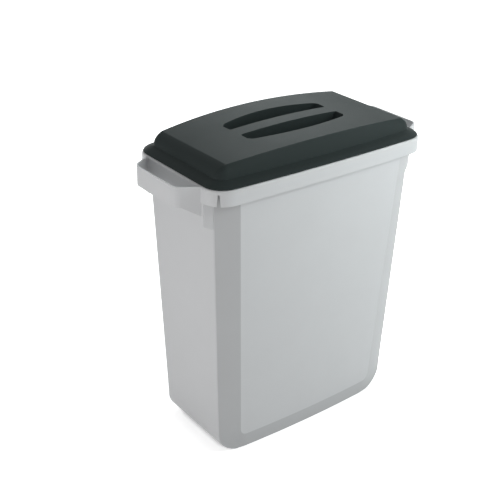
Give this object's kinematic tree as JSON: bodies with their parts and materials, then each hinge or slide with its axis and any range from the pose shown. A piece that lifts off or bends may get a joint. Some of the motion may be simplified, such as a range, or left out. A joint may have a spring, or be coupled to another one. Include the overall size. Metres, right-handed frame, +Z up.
{
  "type": "waste bin",
  "caption": "Slim tapered waste bin with a skirted rim, looped end handles and a domed lift-off lid with finger recesses either side of a grip bar.",
  "frame": {"origin": "middle of the base, on the floor", "axes": "+X along the length, from handle to handle; +Y towards the back; +Z up"},
  "size_m": [0.592, 0.282, 0.6472],
  "materials": {
    "tub_plastic": "light grey moulded plastic, satin",
    "lid_plastic": "black moulded plastic, satin"
  },
  "bodies": {
    "tub": {"bin_tub": "tub_plastic"},
    "lid": {"lid": "lid_plastic"}
  },
  "joints": [
    {"name": "lid_lift", "type": "slide", "parent": "tub", "child": "lid", "axis": [0, 0, 1], "range_m": [0, 0.15]}
  ]
}
